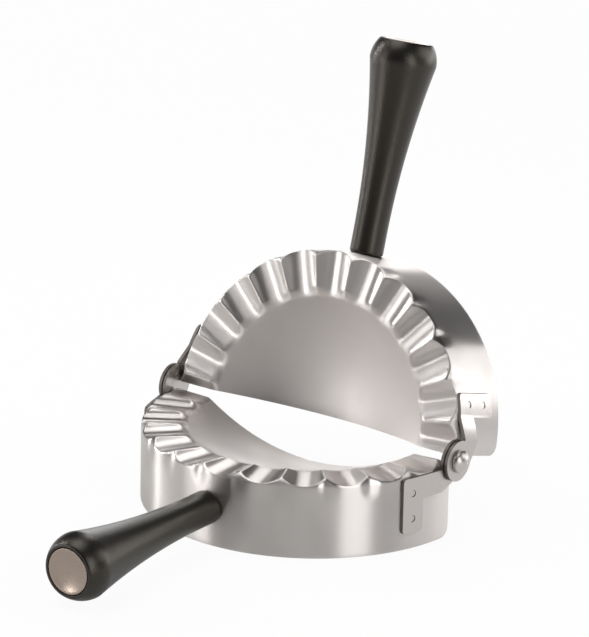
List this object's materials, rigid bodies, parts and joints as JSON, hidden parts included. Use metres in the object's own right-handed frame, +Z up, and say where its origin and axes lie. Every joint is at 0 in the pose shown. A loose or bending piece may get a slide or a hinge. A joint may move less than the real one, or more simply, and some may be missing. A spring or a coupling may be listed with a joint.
{
  "type": "empanada press",
  "caption": "Hinged stainless steel dough press: a half-round cutting ring with a crimped rim and pocket on each half, riveted together, each with a flared black handle.",
  "frame": {"origin": "centre of the whole object's footprint box, on the surface that the front half's cutting edge rests on, in the open pose of the picture", "axes": "+Z up, X along the hinge's rivets, -Y along the front handle away from the hinge"},
  "size_m": [0.1388, 0.2088, 0.1658],
  "materials": {
    "shell_steel": "satin-polished stamped stainless steel sheet",
    "strap_steel": "satin stainless steel strip with spot-weld marks",
    "rivet_steel": "bright headed stainless steel rivet",
    "spring_steel": "plain stainless washer",
    "cap_steel": "turned satin stainless disc",
    "screw_steel": "stainless socket screw",
    "insert_brass": "turned brass insert",
    "grip_plastic": "black satin moulded plastic"
  },
  "bodies": {
    "front_half": {"front_shell": "shell_steel", "front_right_strap": "strap_steel", "front_left_strap": "strap_steel", "right_hinge_rivet": "rivet_steel", "left_hinge_rivet": "rivet_steel", "right_hinge_washer": "spring_steel", "left_hinge_washer": "spring_steel", "front_grip": "grip_plastic", "front_end_cap": "cap_steel", "front_grip_insert": "insert_brass", "front_grip_screw": "screw_steel", "front_saddle_washer": "spring_steel"},
    "rear_half": {"rear_shell": "shell_steel", "rear_right_strap": "strap_steel", "rear_left_strap": "strap_steel", "rear_grip": "grip_plastic", "rear_end_cap": "cap_steel", "rear_grip_insert": "insert_brass", "rear_grip_screw": "screw_steel", "rear_saddle_washer": "spring_steel"}
  },
  "joints": [
    {"name": "hinge", "type": "hinge", "parent": "front_half", "child": "rear_half", "pos_m": [0, 0.03947, 0.0291], "axis": [1, 0, 0], "range_deg": [-73.5, 106.5]}
  ]
}
